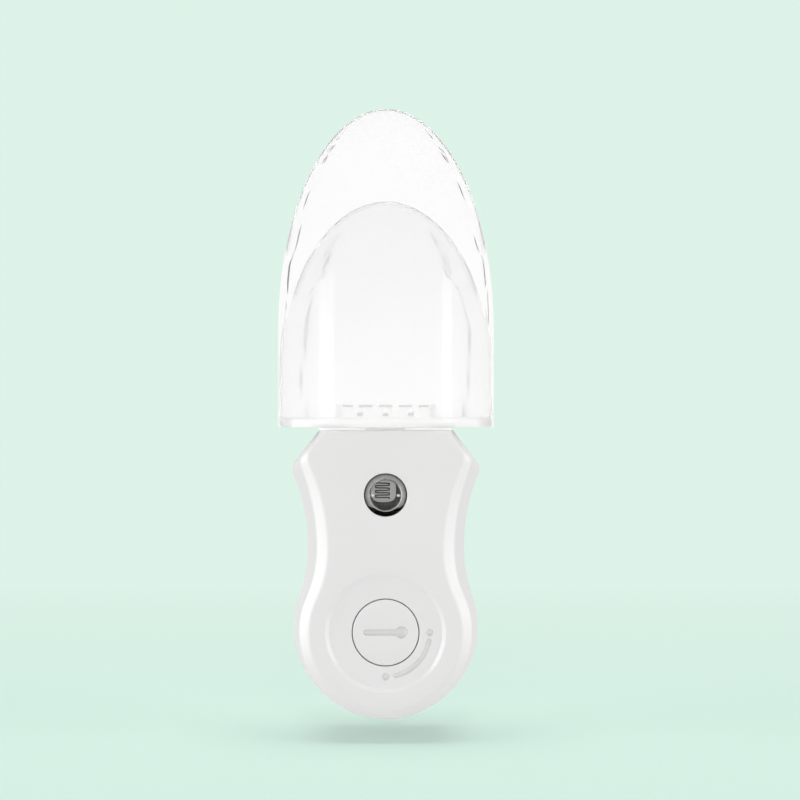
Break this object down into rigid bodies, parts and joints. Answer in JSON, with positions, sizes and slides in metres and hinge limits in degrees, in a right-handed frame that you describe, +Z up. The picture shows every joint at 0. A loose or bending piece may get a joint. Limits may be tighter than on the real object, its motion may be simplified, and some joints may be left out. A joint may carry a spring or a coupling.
{
  "type": "plug-in night light",
  "caption": "Plug-in night light with a waisted white housing, a swivel plug at the back, a light sensor, a turning indicator and a clear bullet-shaped shade.",
  "frame": {"origin": "plug's axis on the flat back that lies on the wall", "axes": "+X right as seen from the room, +Y into the wall along the plug's axis, +Z up"},
  "size_m": [0.0368, 0.0422, 0.1041],
  "materials": {
    "housing_white": "satin white moulded ABS",
    "foot_white": "satin white moulded ABS",
    "shade_clear": "clear polished acrylic with a softly frosted inside",
    "plug_insulator": "satin white moulded nylon",
    "indicator_white": "satin white moulded ABS",
    "blade_nickel": "bright nickel plate",
    "contact_brass": "bright strip",
    "screw_steel": "zinc plated",
    "board_laminate": "phenolic laminate",
    "lamp_board_white": "white solder mask",
    "sensor_resin": "clear resin over a dark meander",
    "film_box": "moulded box",
    "can_sleeve": "shrunk sleeve",
    "resistor_lacquer": "lacquer",
    "diode_glass": "glass bead body",
    "transistor_black": "moulded",
    "live_insulation": "PVC insulation",
    "neutral_insulation": "PVC insulation",
    "lamp_phosphor": "silicone over phosphor"
  },
  "bodies": {
    "housing": {"front_cover": "housing_white", "rear_cover": "housing_white", "shade_foot": "foot_white", "shade": "shade_clear", "contact_carrier": "plug_insulator", "live_contact_track": "contact_brass", "neutral_contact_track": "contact_brass", "housing_screw_left": "screw_steel", "housing_screw_right": "screw_steel", "circuit_board": "board_laminate", "lamp_board": "lamp_board_white", "photocell": "sensor_resin", "film_capacitor": "film_box", "smoothing_capacitor": "can_sleeve", "series_resistor": "resistor_lacquer", "bleed_resistor": "resistor_lacquer", "rectifier_diode_1": "diode_glass", "rectifier_diode_2": "diode_glass", "rectifier_diode_3": "diode_glass", "rectifier_diode_4": "diode_glass", "switching_transistor": "transistor_black", "live_supply_wire": "live_insulation", "lamp_wire_right": "live_insulation", "neutral_supply_wire": "neutral_insulation", "lamp_wire_left": "neutral_insulation", "lamp_1": "lamp_phosphor", "lamp_2": "lamp_phosphor", "lamp_3": "lamp_phosphor"},
    "plug": {"plug_turntable": "plug_insulator", "indicator_cap": "indicator_white", "live_blade": "blade_nickel", "neutral_blade": "blade_nickel"}
  },
  "joints": [
    {"name": "plug_swivel", "type": "hinge", "parent": "housing", "child": "plug", "pos_m": [0, 0, 0], "axis": [0, 1, 0], "range_deg": [0, 90]}
  ]
}
